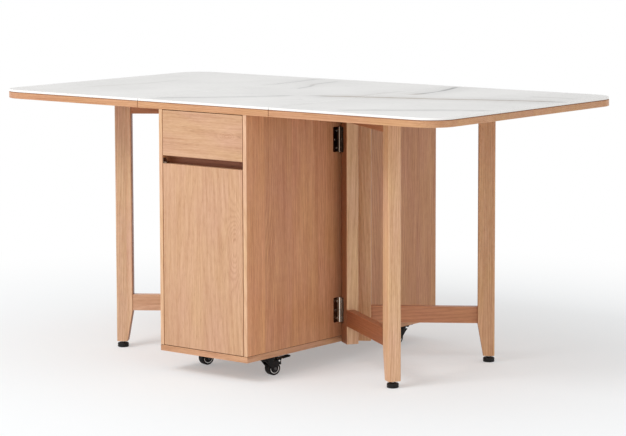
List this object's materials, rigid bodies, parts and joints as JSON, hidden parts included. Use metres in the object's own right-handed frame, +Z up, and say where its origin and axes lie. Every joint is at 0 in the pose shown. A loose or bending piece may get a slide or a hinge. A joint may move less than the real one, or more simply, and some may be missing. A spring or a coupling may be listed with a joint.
{
  "type": "drop-leaf gate-leg dining table",
  "caption": "Drop-leaf dining table with stone-faced top, swing-out gate legs, and a central storage cabinet with drawer and door on castors.",
  "frame": {"origin": "on the floor under the middle of the table top", "axes": "+X along the table's length, -Y out of the cabinet's front, +Z up"},
  "size_m": [1.56, 0.865, 0.75],
  "materials": {
    "case_wood": "oiled oak veneer, satin",
    "front_wood": "oiled oak, satin",
    "gate_wood": "oiled oak staves, satin",
    "top_wood": "oiled oak, satin",
    "stone": "polished sintered stone with faint veins",
    "hinge_steel": "nickel-plated steel",
    "castor_metal": "black coated steel",
    "tyre_rubber": "black tyre",
    "glide_plastic": "black moulded pad"
  },
  "bodies": {
    "cabinet": {"base_panel": "case_wood", "side_panel_left": "case_wood", "side_panel_right": "case_wood", "centre_divider": "case_wood", "drawer_shelves": "case_wood", "cupboard_shelves": "case_wood", "top_cleats": "case_wood", "drawer_runners": "case_wood", "door_pivots": "hinge_steel", "middle_top_panel": "top_wood", "middle_top_slab": "stone", "leaf_hinge_plates": "hinge_steel", "gate_hinge_plates": "hinge_steel", "castor_plates": "castor_metal"},
    "leaf_left": {"leaf_panel_left": "top_wood", "leaf_slab_left": "stone", "leaf_hinge_wings_left": "hinge_steel"},
    "leaf_right": {"leaf_panel_right": "top_wood", "leaf_slab_right": "stone", "leaf_hinge_wings_right": "hinge_steel"},
    "gate_front_right": {"stile_front_right": "gate_wood", "leg_front_right": "gate_wood", "top_rail_front_right": "gate_wood", "stretcher_front_right": "gate_wood", "glide_front_right": "glide_plastic", "hinge_wings_front_right": "hinge_steel"},
    "gate_rear_right": {"stile_rear_right": "gate_wood", "leg_rear_right": "gate_wood", "top_rail_rear_right": "gate_wood", "stretcher_rear_right": "gate_wood", "glide_rear_right": "glide_plastic", "hinge_wings_rear_right": "hinge_steel"},
    "gate_front_left": {"stile_front_left": "gate_wood", "leg_front_left": "gate_wood", "top_rail_front_left": "gate_wood", "stretcher_front_left": "gate_wood", "glide_front_left": "glide_plastic", "hinge_wings_front_left": "hinge_steel"},
    "gate_rear_left": {"stile_rear_left": "gate_wood", "leg_rear_left": "gate_wood", "top_rail_rear_left": "gate_wood", "stretcher_rear_left": "gate_wood", "glide_rear_left": "glide_plastic", "hinge_wings_rear_left": "hinge_steel"},
    "drawer_front": {"drawer_front_front": "front_wood", "drawer_box_front": "case_wood"},
    "door_front": {"door_front": "front_wood"},
    "drawer_rear": {"drawer_front_rear": "front_wood", "drawer_box_rear": "case_wood"},
    "door_rear": {"door_rear": "front_wood"},
    "castor_fork_front_right": {"castor_fork_front_right": "castor_metal"},
    "castor_wheel_front_right": {"castor_wheel_front_right": "tyre_rubber"},
    "brake_pedal_front_right": {"brake_pedal_front_right": "castor_metal"},
    "castor_fork_rear_right": {"castor_fork_rear_right": "castor_metal"},
    "castor_wheel_rear_right": {"castor_wheel_rear_right": "tyre_rubber"},
    "castor_fork_front_left": {"castor_fork_front_left": "castor_metal"},
    "castor_wheel_front_left": {"castor_wheel_front_left": "tyre_rubber"},
    "brake_pedal_front_left": {"brake_pedal_front_left": "castor_metal"},
    "castor_fork_rear_left": {"castor_fork_rear_left": "castor_metal"},
    "castor_wheel_rear_left": {"castor_wheel_rear_left": "tyre_rubber"}
  },
  "joints": [
    {"name": "leaf_left_lift", "type": "hinge", "parent": "cabinet", "child": "leaf_left", "pos_m": [-0.2335, 0, 0.7285], "axis": [0, 1, 0], "range_deg": [0, 4]},
    {"name": "leaf_right_lift", "type": "hinge", "parent": "cabinet", "child": "leaf_right", "pos_m": [0.2335, 0, 0.7285], "axis": [0, -1, 0], "range_deg": [0, 4]},
    {"name": "gate_front_right_fold", "type": "hinge", "parent": "cabinet", "child": "gate_front_right", "pos_m": [0.1598, -0.0337, 0], "axis": [0, 0, -1], "range_deg": [-1, 56.5]},
    {"name": "gate_rear_right_fold", "type": "hinge", "parent": "cabinet", "child": "gate_rear_right", "pos_m": [0.1598, 0.0337, 0], "axis": [0, 0, 1], "range_deg": [-2, 55.5]},
    {"name": "gate_front_left_fold", "type": "hinge", "parent": "cabinet", "child": "gate_front_left", "pos_m": [-0.1598, -0.0337, 0], "axis": [0, 0, 1], "range_deg": [-2.5, 55]},
    {"name": "gate_rear_left_fold", "type": "hinge", "parent": "cabinet", "child": "gate_rear_left", "pos_m": [-0.1598, 0.0337, 0], "axis": [0, 0, -1], "range_deg": [-2.5, 55]},
    {"name": "drawer_front_slide", "type": "slide", "parent": "cabinet", "child": "drawer_front", "axis": [0, -1, 0], "range_m": [0, 0.28]},
    {"name": "door_front_swing", "type": "hinge", "parent": "cabinet", "child": "door_front", "pos_m": [-0.136, -0.4255, 0.3], "axis": [0, 0, -1], "range_deg": [0, 100]},
    {"name": "drawer_rear_slide", "type": "slide", "parent": "cabinet", "child": "drawer_rear", "axis": [0, 1, 0], "range_m": [0, 0.28]},
    {"name": "door_rear_swing", "type": "hinge", "parent": "cabinet", "child": "door_rear", "pos_m": [0.136, 0.4255, 0.3], "axis": [0, 0, -1], "range_deg": [0, 100]},
    {"name": "castor_front_right_swivel", "type": "hinge", "parent": "cabinet", "child": "castor_fork_front_right", "pos_m": [0.12, -0.3015, 0.019], "axis": [0, 0, 1], "continuous": true},
    {"name": "castor_front_right_roll", "type": "hinge", "parent": "castor_fork_front_right", "child": "castor_wheel_front_right", "pos_m": [0.12424, -0.28763, 0.019], "axis": [-0.9563, 0.2924, 0], "continuous": true},
    {"name": "brake_front_right_press", "type": "hinge", "parent": "castor_fork_front_right", "child": "brake_pedal_front_right", "pos_m": [0.12804, -0.2752, 0.04], "axis": [-0.9563, 0.2924, 0], "range_deg": [0, 4]},
    {"name": "castor_rear_right_swivel", "type": "hinge", "parent": "cabinet", "child": "castor_fork_rear_right", "pos_m": [0.12, 0.3015, 0.019], "axis": [0, 0, 1], "continuous": true},
    {"name": "castor_rear_right_roll", "type": "hinge", "parent": "castor_fork_rear_right", "child": "castor_wheel_rear_right", "pos_m": [0.11699, 0.28732, 0.019], "axis": [0.9781, -0.2079, 0], "continuous": true},
    {"name": "castor_front_left_swivel", "type": "hinge", "parent": "cabinet", "child": "castor_fork_front_left", "pos_m": [-0.12, -0.3015, 0.019], "axis": [0, 0, 1], "continuous": true},
    {"name": "castor_front_left_roll", "type": "hinge", "parent": "castor_fork_front_left", "child": "castor_wheel_front_left", "pos_m": [-0.11576, -0.28763, 0.019], "axis": [-0.9563, 0.2924, 0], "continuous": true},
    {"name": "brake_front_left_press", "type": "hinge", "parent": "castor_fork_front_left", "child": "brake_pedal_front_left", "pos_m": [-0.11196, -0.2752, 0.04], "axis": [-0.9563, 0.2924, 0], "range_deg": [0, 4]},
    {"name": "castor_rear_left_swivel", "type": "hinge", "parent": "cabinet", "child": "castor_fork_rear_left", "pos_m": [-0.12, 0.3015, 0.019], "axis": [0, 0, 1], "continuous": true},
    {"name": "castor_rear_left_roll", "type": "hinge", "parent": "castor_fork_rear_left", "child": "castor_wheel_rear_left", "pos_m": [-0.12301, 0.28732, 0.019], "axis": [0.9781, -0.2079, 0], "continuous": true}
  ]
}
